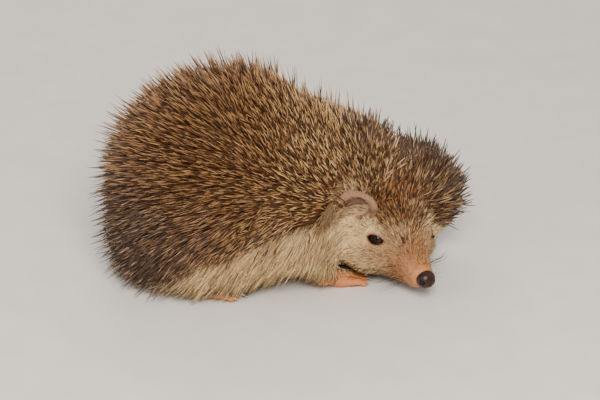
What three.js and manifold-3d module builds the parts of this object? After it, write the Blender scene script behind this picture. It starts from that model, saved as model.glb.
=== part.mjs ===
// A life-size hedgehog, crouched on the floor with its back arched, its snout low
// and its head turned to its right. Millimetres; +X forward, +Y its left, +Z up.
// The solids are the outline of the coat: spines over the back, short fur below.
import * as THREE from 'three';
import { mergeVertices } from 'three/addons/utils/BufferGeometryUtils.js';
import Module from 'manifold-3d';

const wasm = await Module();
wasm.setup();

// ---- Driving dimensions ----
const PART_GAP = 0.3;
const SPINE_DEPTH = 14;
const BELLY_SKIN_HEIGHT = 5;
const BELLY_CLEARANCE = 1;
const FLOOR_BLEND = 6;
const SPINE_RAMP = 15;
const FAR = 400;
const HEAD_REACH = 60;
const SEAT_STEP = 0.25;
const RAY_STEP = 2.5;
const BISECTIONS = 18;
const TRUNK_WRAP = { columns: 26, rows: 20, reach: 125 };
const HEAD_WRAP = { columns: 26, rows: 20, reach: 72 };
const LIMB_SIDES = 8;
const DIGIT_SIDES = 5;
const EYE_SIDES = 10;

const NOSE_PLACE = [75.5, -40.5, 15];
const HEAD_YAW = -62;
const HEAD_PITCH = 11;
const HEAD_ROLL = -2;
const HEAD_SCALE = 1.07;
const HEAD_CENTRE = [-40, 0, 6];
const HEAD_BLEND = 8;
const HEAD_BALL_CENTRE = [110, -40, 10];
const HEAD_BALL_RADIUS = 88;
const TRUNK_CENTRE = [-25, 0, 46];
const NECK_START = 14;
const MUZZLE_START = -21;

const NOSE_RADII = [4.6, 5.2, 4.7];
const EYE_RADIUS = 4.4;
const EYE_SINK = 2.7;
const EYE_SEATS = {
  right: { from: [-29, 0, 4], toward: [0, -0.96, 0.33] },
  left: { from: [-27.5, 0, 2.6], toward: [0, 0.98, 0.16] },
};
const EYE_BARE_RADIUS = 10;
const EAR_WIDTH = 24.4;
const EAR_HEIGHT = 19.6;
const EAR_THICKNESS = 3.4;
const EAR_CUP = 3.2;
const EAR_SINK = -0.3;
const EAR_LIFT = -1.3;
const EAR_SEATS = {
  right: { from: [-37.2, 0, 8], toward: [0, -0.8, 0.6] },
  left: { from: [-44, 0, 6], toward: [-0.15, 0.95, 0.28] },
};
const EAR_BARE_RADIUS = 20;
const EAR_LEAN = [-0.24, 0.12, 0.95];
const EAR_FACING = [0.82, 0.52, 0.2];
const SOLE_LENGTH = 0.66;
const SOLE_THICKNESS = 8;
const SOLE_HEIGHT = 3.2;
const TOE_RADIUS = 1.9;
const TOE_SPREAD = 0.35;
const TOE_SHORTENING = 0.16;
const CLAW_RADIUS = 0.7;

// Fur depth on the face against distance behind the nose, and the height of the
// lower edge of the spines along the body: [place, value] pairs.
const FACE_FUR = [[-60, 4], [-40, 3], [-25, 1.5], [-8, 0.3]];
const MANTLE_EDGE = [[-110, 0], [-77, 6], [-49, 24], [-21, 36], [7, 43], [26, 45.5], [60, 46]];
// Where the flank's edge gives way to the hairline, which is a slope in the head's own axes.
const HOOD_EDGE_START = 26;
const HOOD_EDGE_LENGTH = 14;
const HAIRLINE_PLACE = -27;
const HAIRLINE_HEIGHT = 15;
const HAIRLINE_SLOPE = -0.15;
// The hairline falls towards the left eye, and again behind the left ear, but never to the jaw.
const HAIRLINE_FALL = 1;
const FALL_START = 11;
const FALL_PLACES = [22, 30];
const FALL_END = [9, 17];
const NAPE_START = -45;
const NAPE_PLACES = [52, 64];
const NAPE_SIDE = 10;
const NAPE_FALL = 0.5;
const HOOD_EDGE_HEIGHT = 23;

// Feet: where the heel is, the way the toes point in degrees, and sizes.
const FEET = {
  forefoot_right: { heel: [24, -22], heading: 26, length: 24, width: 12, toes: 5 },
  forefoot_left: { heel: [48, 24], heading: -8, length: 24, width: 12, toes: 5 },
  hindfoot_right: { heel: [-52, -31], heading: -4, length: 31, width: 11, toes: 4 },
  hindfoot_left: { heel: [-52, 31], heading: 4, length: 31, width: 11, toes: 4 },
};
const FORELEGS = {
  right: [
    { place: [9, -24, 19], radius: 8.5 },
    { place: [20, -22.5, 9], radius: 6.3 },
    { place: [28, -20, 4.6], radius: 4.6 },
  ],
  left: [
    { place: [34, 26, 20], radius: 8.5 },
    { place: [44, 24.5, 10], radius: 6.3 },
    { place: [52, 23.4, 4.6], radius: 4.6 },
  ],
};
const TAIL = [
  { place: [-80, 0, 14], radius: 4.5 },
  { place: [-89, 0, 9], radius: 3.5 },
  { place: [-95, 0, 5.5], radius: 2.3 },
];
const THIGH = { centre: [-40, 34, 18], radii: [27, 17, 21] };

// Masses of the body under the coat: centre, radii, and how softly each joins the rest.
const TRUNK_MASSES = [
  { name: 'rump', centre: [-31, 0, 54.5], radii: [58.5, 47, 54.5], blend: 0 },
  { name: 'tail base', centre: [-58, 0, 27], radii: [30, 38, 27], blend: 14 },
  { name: 'shoulders', centre: [10, 3, 42], radii: [35, 34, 40], blend: 18 },
  { name: 'hood', centre: [66, 17, 35], radii: [27, 19, 24], blend: 14 },
  { name: 'nape', centre: [35, 7, 44], radii: [27, 27, 33], blend: 14 },
  { name: 'right thigh', centre: [-40, -24, 22], radii: [24, 13, 18], blend: 10 },
  { name: 'left thigh', centre: [-40, 24, 22], radii: [24, 13, 18], blend: 10 },
  { name: 'chest', centre: [32, 8, 28], radii: [24, 19, 16], blend: 12 },
];
// The head's masses are in its own axes: forward from the nose, left, up.
const HEAD_MASSES = [
  { name: 'skull', centre: [-42, 0, 3], radii: [22, 19, 17], blend: 0 },
  { name: 'right cheek', centre: [-37, -14, -3], radii: [15, 11, 10], blend: 7 },
  { name: 'left cheek', centre: [-38, 14, -3], radii: [14, 9.5, 10], blend: 7 },
  { name: 'brow', centre: [-30, 0, 8], radii: [10, 11, 9], blend: 8 },
];
const HEAD_TAPERS = [
  { name: 'muzzle', from: [-26, 0, 1], fromRadius: 13, to: [-6, 0, -0.5], toRadius: 6.5, blend: 7 },
  { name: 'jaw', from: [-28, 0, -5], fromRadius: 12, to: [-8, 0, -6.5], toRadius: 4.7, blend: 5 },
];

// ---- Materials ----
const finish = (color, roughness) => new THREE.MeshStandardMaterial({ color, roughness, metalness: 0 });
const SPINES = finish('#7d5f41', 0.6);
const FUR = finish('#e2d5ba', 0.9);
const SKIN = finish('#c99478', 0.65);
const EAR_SKIN = finish('#9c7d69', 0.75);
const NOSE_SKIN = finish('#33211f', 0.35);
const EYE_GLOSS = finish('#170d0a', 0.08);

// ---- The head's own axes ----
function headMatrix() {
  const yaw = THREE.MathUtils.degToRad(HEAD_YAW);
  const pitch = THREE.MathUtils.degToRad(HEAD_PITCH);
  const forward = new THREE.Vector3(
    Math.cos(pitch) * Math.cos(yaw),
    Math.cos(pitch) * Math.sin(yaw),
    -Math.sin(pitch),
  );
  const left = new THREE.Vector3(-Math.sin(yaw), Math.cos(yaw), 0);
  left.applyAxisAngle(forward, THREE.MathUtils.degToRad(HEAD_ROLL));
  const up = new THREE.Vector3().crossVectors(forward, left);
  return new THREE.Matrix4()
    .makeBasis(forward, left, up)
    .scale(new THREE.Vector3(HEAD_SCALE, HEAD_SCALE, HEAD_SCALE))
    .setPosition(...NOSE_PLACE);
}
const HEAD = headMatrix();
const HEAD_INVERSE = HEAD.clone().invert();
const fromHead = (place) => new THREE.Vector3(...place).applyMatrix4(HEAD);
const headDirection = (direction) => new THREE.Vector3(...direction).transformDirection(HEAD);

// ---- The body as a distance from its surface: negative inside, positive outside ----
function interpolate(pairs, x) {
  if (x <= pairs[0][0]) return pairs[0][1];
  for (let i = 1; i < pairs.length; i += 1) {
    const [x0, y0] = pairs[i - 1];
    const [x1, y1] = pairs[i];
    if (x <= x1) return y0 + ((y1 - y0) * (x - x0)) / (x1 - x0);
  }
  return pairs[pairs.length - 1][1];
}

function softMin(a, b, blend) {
  const overlap = Math.max(blend - Math.abs(a - b), 0);
  return Math.min(a, b) - (blend > 0 ? (overlap * overlap) / (4 * blend) : 0);
}
const softMax = (a, b, blend) => -softMin(-a, -b, blend);

function massDistance(p, { centre, radii }) {
  const q = [p.x - centre[0], p.y - centre[1], p.z - centre[2]];
  const scaled = Math.hypot(...q.map((value, i) => value / radii[i]));
  const slope = Math.hypot(...q.map((value, i) => value / radii[i] ** 2));
  return (scaled * (scaled - 1)) / Math.max(slope, 1e-9);
}

function taperDistance(p, { from, fromRadius, to, toRadius }) {
  const line = new THREE.Line3(new THREE.Vector3(...from), new THREE.Vector3(...to));
  const along = line.closestPointToPointParameter(p, true);
  const nearest = line.at(along, new THREE.Vector3());
  return p.distanceTo(nearest) - THREE.MathUtils.lerp(fromRadius, toRadius, along);
}

function joinMasses(p, masses, distance) {
  return masses.reduce((sum, mass) => softMin(sum, distance(p, mass), mass.blend), FAR);
}

function skinDistance(p) {
  const trunk = joinMasses(p, TRUNK_MASSES, massDistance);
  const inHead = p.clone().applyMatrix4(HEAD_INVERSE);
  let head = joinMasses(inHead, HEAD_MASSES, massDistance);
  head = HEAD_TAPERS.reduce((sum, taper) => softMin(sum, taperDistance(inHead, taper), taper.blend), head);
  const whole = softMin(trunk, head * HEAD_SCALE, HEAD_BLEND);
  return softMax(whole, BELLY_SKIN_HEIGHT - p.z, FLOOR_BLEND);
}

// Height above the lower edge of the spiny mantle: positive where spines grow.
function aboveMantleEdge(p) {
  const inHead = p.clone().applyMatrix4(HEAD_INVERSE);
  const fall = HAIRLINE_FALL * Math.max(inHead.y - FALL_START, 0)
    * THREE.MathUtils.smoothstep(-inHead.x, ...FALL_PLACES)
    * (1 - THREE.MathUtils.smoothstep(p.y, ...FALL_END));
  const alongHead = Math.max(inHead.x, NAPE_START) - HAIRLINE_PLACE;
  const napeFall = NAPE_FALL * Math.max(p.y - NAPE_SIDE, 0)
    * THREE.MathUtils.smoothstep(-inHead.x, ...NAPE_PLACES);
  const overHair = inHead.z - HAIRLINE_HEIGHT - HAIRLINE_SLOPE * alongHead + fall + napeFall;
  const overHairline = Math.min(overHair, p.z - HOOD_EDGE_HEIGHT);
  const overFlank = p.z - interpolate(MANTLE_EDGE, p.x);
  const hood = THREE.MathUtils.clamp((p.x - HOOD_EDGE_START) / HOOD_EDGE_LENGTH, 0, 1);
  return THREE.MathUtils.lerp(overFlank, overHairline, hood);
}

function coatDepth(p) {
  const inHead = p.clone().applyMatrix4(HEAD_INVERSE);
  const spiny = THREE.MathUtils.smoothstep(aboveMantleEdge(p), -SPINE_RAMP / 5, SPINE_RAMP);
  const fur = interpolate(FACE_FUR, inHead.x);
  const openEye = THREE.MathUtils.smoothstep(nearest(p, EYES), EYE_RADIUS, EYE_BARE_RADIUS);
  const openEar = THREE.MathUtils.smoothstep(nearest(p, EARS), EAR_BARE_RADIUS / 2, EAR_BARE_RADIUS);
  return THREE.MathUtils.lerp(fur, SPINE_DEPTH, spiny) * openEye * openEar;
}

const coatDistance = (p) => softMax(skinDistance(p) - coatDepth(p), BELLY_CLEARANCE - p.z, 1);

// Where a ray in the head's axes first comes out through the skin.
function seatOnSkin({ from, toward }) {
  const start = fromHead(from);
  const ray = headDirection(toward);
  const at = (t) => start.clone().addScaledVector(ray, t);
  let reach = 0;
  while (skinDistance(at(reach)) < 0 && reach < HEAD_REACH) reach += SEAT_STEP;
  return { place: at(reach), ray };
}

function sunkInSkin(seat, sink) {
  const { place, ray } = seatOnSkin(seat);
  return place.addScaledVector(ray, -sink);
}
const earTall = (side) => headDirection([EAR_LEAN[0], side * EAR_LEAN[1], EAR_LEAN[2]]);
const EYES = { right: sunkInSkin(EYE_SEATS.right, EYE_SINK), left: sunkInSkin(EYE_SEATS.left, EYE_SINK) };
const EARS = {
  right: sunkInSkin(EAR_SEATS.right, EAR_SINK).addScaledVector(earTall(-1), EAR_LIFT),
  left: sunkInSkin(EAR_SEATS.left, EAR_SINK).addScaledVector(earTall(1), EAR_LIFT),
};
const nearest = (p, places) => Math.min(...Object.values(places).map((place) => p.distanceTo(place)));

// ---- Solids ----
function toSolid(geometry) {
  const bare = geometry.clone();
  bare.deleteAttribute('normal');
  bare.deleteAttribute('uv');
  const merged = mergeVertices(bare, 1e-4);
  return new wasm.Manifold(new wasm.Mesh({
    numProp: 3,
    vertProperties: new Float32Array(merged.attributes.position.array),
    triVerts: new Uint32Array(merged.index.array),
  }));
}

function toGeometry(solid) {
  const mesh = solid.getMesh();
  const geometry = new THREE.BufferGeometry();
  geometry.setAttribute('position', new THREE.BufferAttribute(mesh.vertProperties, 3));
  geometry.setIndex(new THREE.BufferAttribute(mesh.triVerts, 1));
  geometry.computeVertexNormals();
  return geometry;
}

const joinSolids = (solids) => solids.reduce((sum, solid) => sum.add(solid));

// A closed skin drawn round a centre: each ray from it stops where the distance turns positive.
function wrapSolid({ centre, pole, columns, rows, reach, distance }) {
  const geometry = new THREE.SphereGeometry(1, columns, rows);
  geometry.applyQuaternion(new THREE.Quaternion().setFromUnitVectors(new THREE.Vector3(0, 1, 0), pole));
  const position = geometry.attributes.position;
  for (let i = 0; i < position.count; i += 1) {
    const ray = new THREE.Vector3().fromBufferAttribute(position, i).normalize();
    const at = (t) => centre.clone().addScaledVector(ray, t);
    let inner = 0;
    while (inner < reach && distance(at(inner + RAY_STEP)) < 0) inner += RAY_STEP;
    let outer = inner + RAY_STEP;
    for (let step = 0; step < BISECTIONS; step += 1) {
      const middle = (inner + outer) / 2;
      if (distance(at(middle)) < 0) inner = middle;
      else outer = middle;
    }
    const place = at(Math.min(inner, reach));
    position.setXYZ(i, place.x, place.y, place.z);
  }
  return toSolid(geometry);
}

function ball(centre, radius, columns = 24, rows = 16) {
  return toSolid(new THREE.SphereGeometry(radius, columns, rows).translate(centre.x, centre.y, centre.z));
}

// A ball stretched to its own radii along three axes.
function stretchedBall(centre, radii, axes, columns, rows) {
  const geometry = new THREE.SphereGeometry(1, columns, rows).scale(...radii);
  geometry.applyMatrix4(new THREE.Matrix4().makeBasis(...axes).setPosition(centre));
  return toSolid(geometry);
}

// Everything on the side of a plane that its normal points to.
function halfSpace(point, normal) {
  const turn = new THREE.Quaternion().setFromUnitVectors(new THREE.Vector3(0, 0, 1), normal);
  const geometry = new THREE.BoxGeometry(FAR, FAR, FAR).translate(0, 0, FAR / 2).applyQuaternion(turn);
  return toSolid(geometry.translate(point.x, point.y, point.z));
}

// Cuts a solid in two along a plane, with the parting gap between the halves.
function partByPlane(solid, point, normal) {
  const ahead = halfSpace(point.clone().addScaledVector(normal, PART_GAP / 2), normal);
  const back = normal.clone().negate();
  const behind = halfSpace(point.clone().addScaledVector(back, PART_GAP / 2), back);
  return [solid.intersect(ahead), solid.intersect(behind)];
}

// Everything over the lower edge of the mantle, raised by a small lift.
function overMantleEdge(lift) {
  const shape = new THREE.Shape();
  shape.moveTo(-FAR, MANTLE_EDGE[0][1] + lift);
  MANTLE_EDGE.forEach(([x, z]) => shape.lineTo(x, z + lift));
  shape.lineTo(FAR, MANTLE_EDGE[MANTLE_EDGE.length - 1][1] + lift);
  shape.lineTo(FAR, FAR);
  shape.lineTo(-FAR, FAR);
  const geometry = new THREE.ExtrudeGeometry(shape, { depth: FAR, bevelEnabled: false });
  return toSolid(geometry.rotateX(Math.PI / 2).translate(0, FAR / 2, 0));
}

const partByMantle = (solid) => [
  solid.intersect(overMantleEdge(PART_GAP / 2)),
  solid.subtract(overMantleEdge(-PART_GAP / 2)),
];
const aboveFloor = (solid) => solid.intersect(halfSpace(new THREE.Vector3(), new THREE.Vector3(0, 0, 1)));

// A limb or tail: tapered lengths with a ball at each bend.
function limb(stations) {
  const bend = ({ place, radius }) => ball(new THREE.Vector3(...place), radius, LIMB_SIDES, LIMB_SIDES / 2);
  const pieces = stations.map(bend);
  for (let i = 1; i < stations.length; i += 1) {
    const start = new THREE.Vector3(...stations[i - 1].place);
    const end = new THREE.Vector3(...stations[i].place);
    const along = end.clone().sub(start);
    const geometry = new THREE.CylinderGeometry(
      stations[i].radius, stations[i - 1].radius, along.length(), LIMB_SIDES,
    );
    const axis = along.clone().normalize();
    const turn = new THREE.Quaternion().setFromUnitVectors(new THREE.Vector3(0, 1, 0), axis);
    const middle = start.add(end).multiplyScalar(0.5);
    pieces.push(toSolid(geometry.applyQuaternion(turn).translate(middle.x, middle.y, middle.z)));
  }
  return joinSolids(pieces);
}

// A toe with its claw: one round tapered length from its root to the claw's point.
function digit(root, tip, grow) {
  const long = root.distanceTo(tip);
  const outline = [
    [0, 0], [TOE_RADIUS, 0.1], [TOE_RADIUS, 0.65], [CLAW_RADIUS, 0.8], [CLAW_RADIUS * 0.6, 1], [0, 1],
  ];
  const profile = outline.map(([radius, share]) => new THREE.Vector2(
    radius > 0 ? radius + grow : 0, share * (long + 2 * grow) - grow,
  ));
  const geometry = new THREE.LatheGeometry(profile, DIGIT_SIDES);
  const along = tip.clone().sub(root).normalize();
  geometry.applyQuaternion(new THREE.Quaternion().setFromUnitVectors(new THREE.Vector3(0, 1, 0), along));
  return toSolid(geometry.translate(root.x, root.y, root.z));
}

// A foot flat on the floor: sole, spread toes and a claw on each.
function foot({ heel, heading, length, width, toes }, grow = 0) {
  const turn = THREE.MathUtils.degToRad(heading);
  const place = (along, across, z) => new THREE.Vector3(
    heel[0] + along * Math.cos(turn) - across * Math.sin(turn),
    heel[1] + along * Math.sin(turn) + across * Math.cos(turn),
    z,
  );
  const axes = [place(1, 0, 0), place(0, 1, 0)].map((end) => end.sub(place(0, 0, 0)));
  axes.push(new THREE.Vector3(0, 0, 1));
  const soleRadii = [length * SOLE_LENGTH / 2, width / 2, SOLE_THICKNESS / 2];
  const sole = stretchedBall(
    place(soleRadii[0], 0, SOLE_HEIGHT), soleRadii.map((radius) => radius + grow), axes, 12, 6,
  );
  const pieces = [sole];
  for (let toe = 0; toe < toes; toe += 1) {
    const spread = toe / (toes - 1) - 0.5;
    const reach = length * (1 - TOE_SHORTENING * (2 * spread) ** 2);
    const toeRoot = place(length * SOLE_LENGTH * 0.7, width * spread, TOE_RADIUS + 0.6);
    const toeTip = place(reach, width * spread * (1 + TOE_SPREAD), CLAW_RADIUS);
    pieces.push(digit(toeRoot, toeTip, grow));
  }
  return joinSolids(pieces);
}

const largestPiece = (solid) => solid.decompose().sort((a, b) => b.volume() - a.volume())[0];

// An ear: a thin round-topped cup, laid back over the side of the head.
function ear(side, centre) {
  const geometry = new THREE.SphereGeometry(1, 14, 10);
  geometry.scale(EAR_WIDTH / 2, EAR_THICKNESS / 2, EAR_HEIGHT / 2);
  const position = geometry.attributes.position;
  for (let i = 0; i < position.count; i += 1) {
    const across = position.getX(i) / (EAR_WIDTH / 2);
    position.setY(i, position.getY(i) + EAR_CUP * across * across);
  }
  const tall = earTall(side);
  const outward = headDirection([EAR_FACING[0], side * EAR_FACING[1], EAR_FACING[2]]);
  outward.addScaledVector(tall, -outward.dot(tall)).normalize();
  const wide = new THREE.Vector3().crossVectors(outward, tall);
  geometry.applyMatrix4(new THREE.Matrix4().makeBasis(wide, outward, tall).setPosition(centre));
  return toSolid(geometry);
}

function nose(grow = 0) {
  const axes = [[1, 0, 0], [0, 1, 0], [0, 0, 1]].map(headDirection);
  const radii = NOSE_RADII.map((radius) => radius * HEAD_SCALE + grow);
  return stretchedBall(fromHead([0, 0, 0]), radii, axes, 14, 8);
}

// ---- The body: trunk and head wrapped whole, then parted with thin cuts ----
function wrapTrunk(grow) {
  return wrapSolid({
    centre: new THREE.Vector3(...TRUNK_CENTRE),
    pole: new THREE.Vector3(1, 0, 0),
    ...TRUNK_WRAP,
    distance: (p) => coatDistance(p) - grow,
  });
}

function wrapHead(grow) {
  return wrapSolid({
    centre: fromHead(HEAD_CENTRE),
    pole: headDirection([1, 0, 0]),
    ...HEAD_WRAP,
    distance: (p) => coatDistance(p) - grow,
  });
}

const headBall = (grow) => ball(new THREE.Vector3(...HEAD_BALL_CENTRE), HEAD_BALL_RADIUS + grow, 24, 16);
const SIDES = [{ name: 'right', sign: -1 }, { name: 'left', sign: 1 }];
const hedgehog = new THREE.Group();

function addPart(name, solid, material) {
  const mesh = new THREE.Mesh(toGeometry(solid), material);
  mesh.name = name;
  hedgehog.add(mesh);
}

function buildLegs(bodyRoom) {
  const feet = {};
  SIDES.forEach(({ name }) => {
    const fore = FEET[`forefoot_${name}`];
    const arm = limb(FORELEGS[name]).add(foot(fore));
    const heading = new THREE.Vector3(1, 0, 0).applyAxisAngle(
      new THREE.Vector3(0, 0, 1), THREE.MathUtils.degToRad(fore.heading),
    );
    const wrist = new THREE.Vector3(...FORELEGS[name][2].place);
    const [paw, leg] = partByPlane(arm, wrist, heading);
    feet[`forefoot_${name}`] = aboveFloor(paw.subtract(bodyRoom));
    feet[`foreleg_${name}`] = aboveFloor(leg.subtract(bodyRoom));
    feet[`hindfoot_${name}`] = aboveFloor(foot(FEET[`hindfoot_${name}`]));
  });
  return feet;
}

function build() {
  const trunk = wrapTrunk(0).subtract(headBall(PART_GAP));
  const head = wrapHead(0).intersect(headBall(0));
  const bodyRoom = wrapTrunk(PART_GAP).add(wrapHead(PART_GAP).intersect(headBall(PART_GAP)));
  const feet = buildLegs(bodyRoom);
  const hindFeet = SIDES.map(({ name }) => foot(FEET[`hindfoot_${name}`], PART_GAP));
  const footRoom = joinSolids(hindFeet);

  const [spinyTrunk, furryTrunk] = partByMantle(trunk);
  const neckPlane = [new THREE.Vector3(NECK_START, 0, 0), new THREE.Vector3(1, 0, 0)];
  const [neckBack, trunkBack] = partByPlane(spinyTrunk, ...neckPlane);
  const [throat, belly] = partByPlane(furryTrunk, ...neckPlane);
  const tail = limb(TAIL).subtract(bodyRoom);

  const hairline = headDirection([-HAIRLINE_SLOPE, 0, 1]);
  const [crown, furryHead] = partByPlane(head, fromHead([HAIRLINE_PLACE, 0, HAIRLINE_HEIGHT]), hairline);
  const [muzzle, face] = partByPlane(furryHead, fromHead([MUZZLE_START, 0, 0]), headDirection([1, 0, 0]));

  let bellyLeft = belly.subtract(footRoom);
  let faceLeft = face;
  SIDES.forEach(({ name, sign }) => {
    const thigh = (grow) => stretchedBall(
      new THREE.Vector3(THIGH.centre[0], sign * THIGH.centre[1], THIGH.centre[2]),
      THIGH.radii.map((radius) => radius + grow),
      [new THREE.Vector3(1, 0, 0), new THREE.Vector3(0, 1, 0), new THREE.Vector3(0, 0, 1)], 14, 10,
    );
    addPart(`hindleg_${name}`, bellyLeft.intersect(thigh(0)), FUR);
    bellyLeft = bellyLeft.subtract(thigh(PART_GAP));
    addPart(`ear_${name}`, largestPiece(ear(sign, EARS[name]).subtract(bodyRoom)), EAR_SKIN);
    addPart(`eye_${name}`, ball(EYES[name], EYE_RADIUS, EYE_SIDES, EYE_SIDES / 2), EYE_GLOSS);
    faceLeft = faceLeft.subtract(ball(EYES[name], EYE_RADIUS + PART_GAP, EYE_SIDES, EYE_SIDES / 2));
  });
  addPart('trunk_back', trunkBack, SPINES);
  addPart('trunk_belly', bellyLeft, FUR);
  addPart('neck_back', neckBack, SPINES);
  addPart('neck_throat', throat, FUR);
  addPart('crown', crown, SPINES);
  addPart('face', faceLeft, FUR);
  addPart('muzzle', muzzle.subtract(nose(PART_GAP)), SKIN);
  addPart('nose', nose(), NOSE_SKIN);
  addPart('tail', tail, SKIN);
  Object.entries(feet).forEach(([name, solid]) => addPart(name, solid, SKIN));
}

build();

export default hedgehog;
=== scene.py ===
"""A life-size hedgehog in its coat: one skin over the whole body, spines over the back and
short fur below. Shapes are worked out in millimetres in the model's own frame: +X forward,
+Y the animal's left, +Z up, with the floor at 0. Pieces are made in metres."""
import bpy
import numpy as np
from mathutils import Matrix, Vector


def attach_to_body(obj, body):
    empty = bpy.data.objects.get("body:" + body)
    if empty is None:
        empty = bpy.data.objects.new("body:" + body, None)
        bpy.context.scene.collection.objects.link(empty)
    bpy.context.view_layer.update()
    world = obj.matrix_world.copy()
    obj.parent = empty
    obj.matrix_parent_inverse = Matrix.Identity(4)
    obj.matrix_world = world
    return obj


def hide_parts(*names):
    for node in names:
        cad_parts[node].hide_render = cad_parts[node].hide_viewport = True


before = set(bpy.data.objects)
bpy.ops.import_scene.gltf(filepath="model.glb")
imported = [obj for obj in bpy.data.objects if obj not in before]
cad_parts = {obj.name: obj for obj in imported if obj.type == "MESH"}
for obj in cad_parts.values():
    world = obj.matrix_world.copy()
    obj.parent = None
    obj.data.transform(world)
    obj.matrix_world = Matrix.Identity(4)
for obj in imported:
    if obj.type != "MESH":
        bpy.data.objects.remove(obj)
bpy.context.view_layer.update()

MM = 0.001
SEED = 417
HASH = 73856093, 19349663, 83492791  # spreads the corners of the noise's cells

# ---- The body's sizes, the same as in the solids ----
NOSE_PLACE = np.array([75.5, -40.5, 15])
HEAD_YAW, HEAD_PITCH, HEAD_ROLL = np.radians([-62, 11, -2])
HEAD_SCALE, HEAD_BLEND = 1.07, 8
BELLY_HEIGHT, FLOOR_BLEND = 5, 6
TRUNK_MASSES = [  # centre, radii, blend
    ((-31, 0, 54.5), (58.5, 47, 54.5), 0),
    ((-58, 0, 27), (30, 38, 27), 14),
    ((10, 3, 42), (35, 34, 40), 18),
    ((66, 17, 35), (27, 19, 24), 14),
    ((35, 7, 44), (27, 27, 33), 14),
    ((-40, -24, 22), (24, 13, 18), 10),
    ((-40, 24, 22), (24, 13, 18), 10),
    ((32, 8, 28), (24, 19, 16), 12),
]
HEAD_MASSES = [
    ((-42, 0, 3), (22, 19, 17), 0),
    ((-37, -14, -3), (15, 11, 10), 7),
    ((-38, 14, -3), (14, 9.5, 10), 7),
    ((-30, 0, 8), (10, 11, 9), 8),
]
HEAD_TAPERS = [  # from, radius, to, radius, blend
    ((-26, 0, 1), 13, (-6, 0, -0.5), 6.5, 7),
    ((-28, 0, -5), 12, (-8, 0, -6.5), 4.7, 5),
]
LIMBS = [  # place and radius at each bend
    [((9, -24, 19), 8.5), ((20, -22.5, 9), 6.3), ((28, -20, 4.6), 4.6)],
    [((34, 26, 20), 8.5), ((44, 24.5, 10), 6.3), ((52, 23.4, 4.6), 4.6)],
    [((-80, 0, 14), 4.5), ((-89, 0, 9), 3.5), ((-95, 0, 5.5), 2.3)],
]
LIMB_BLEND = 2
MOUTH = ((-3.5, 0.5, -6.6), 0.45), ((-9, 5.2, -6.4), 0.5), ((-20, 10.6, -6.2), 0.25)
NOSTRIL = ((2.6, 3.7, 0.3), 1.35), ((0.8, 5.3, 0.9), 0.8), ((-1.2, 5.3, 2.6), 0.45)
GROOVE = ((5.0, 0, 1.5), 0.3), ((3.6, 0, -3.6), 0.45)
TAIL_START = -76
FEET = [  # heel, heading in degrees, length, width, toes: forefeet, then hind feet
    ((24, -22), 26, 24, 12, 5),
    ((48, 24), -8, 24, 12, 5),
    ((-52, -31), -4, 31, 11, 4),
    ((-52, 31), 4, 31, 11, 4),
]
SOLE_SHARE, SOLE_THICKNESS, SOLE_HEIGHT = 0.66, 8, 3.2
TOE_SPREAD, TOE_SHORTENING, TOE_START, TOE_ROOTS = 0.35, 0.16, 0.62, 0.9
TOE_HEIGHTS = ((0, 3.2), (0.38, 3.1), (0.66, 1.9), (1, 0.5))  # place along, height
TOE_RADII, KNUCKLE_RADII, PAD_RADII = (2.0, 1.9), (1.8, 1.55), (1.9, 1.75, 1.5)
# places along the body, and the heights of the spines' lower edge
MANTLE_EDGE = [-110, -77, -49, -21, 7, 26, 60], [0, 6, 24, 36, 43, 45.5, 46]
HAIRLINE_PLACE, HAIRLINE_HEIGHT, HAIRLINE_SLOPE = -27, 15, -0.15
HAIRLINE_FALL, FALL_START, FALL_PLACES, FALL_END = 1, 11, (-30, -22), (9, 17)
NAPE_START, NAPE_SIDE, NAPE_FALL, NAPE_PLACES = -45, 10, 0.5, (-64, -52)
HOOD_START, HOOD_LENGTH, HOOD_EDGE_HEIGHT = 26, 14, 23
HEAD_START = (28, 40)  # the markings of the head fade in between these places along the body
EYE_RADIUS, EYE_SINK = 4.4, 2.7
LID_RADIUS, LID_BLEND, LID_OVERLAP, LID_REACH = 5.4, 2.2, 0.9, 6.6
SLIT_LONG, SLIT_TALL = 4.7, 2.3
EAR_HALF = np.array([12.2, 9.8])
EAR_LIFT, EAR_SINK, EAR_CURL, EAR_LEAN = -1.3, -0.3, 3.2, 0.4
NOSE_RADII = (4.9, 5.55, 5.0)
MUZZLE_CENTRE, MUZZLE_HALF = (-13, 0, 0), (13, 16, 14)
LIMB_REACH, FOOT_REACH, EAR_REACH, EYE_REACH = 34, 24, 22, 11  # past them the shapes are left out
SIDES = {"right": -1, "left": 1}


# ---- Small tools ----
def norm(v):
    return np.linalg.norm(v, axis=-1)


def unit(v):
    return v / np.maximum(norm(v), 1e-9)[..., None]


def ramp(x, low, high):
    """Rises smoothly from 0 at low to 1 at high."""
    t = np.clip((x - low) / (high - low), 0, 1)
    return t * t * (3 - 2 * t)


def fall(x, low, high):
    return ramp(-x, -high, -low)


def lerp(a, b, t):
    return a + (b - a) * t


def paint(tone, *layers):
    """Lays colours over a tone in turn, each given with its share."""
    for layer, share in layers:
        tone = lerp(tone, layer, share[..., None])
    return tone


def distance(p, place):
    return norm(p - place)


def colours(codes):
    """Linear colours from hex codes."""
    c = np.array([[int(code[i:i + 2], 16) for i in (0, 2, 4)] for code in codes.split()]) / 255
    return np.where(c <= 0.04045, c / 12.92, ((c + 0.055) / 1.055) ** 2.4)


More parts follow.
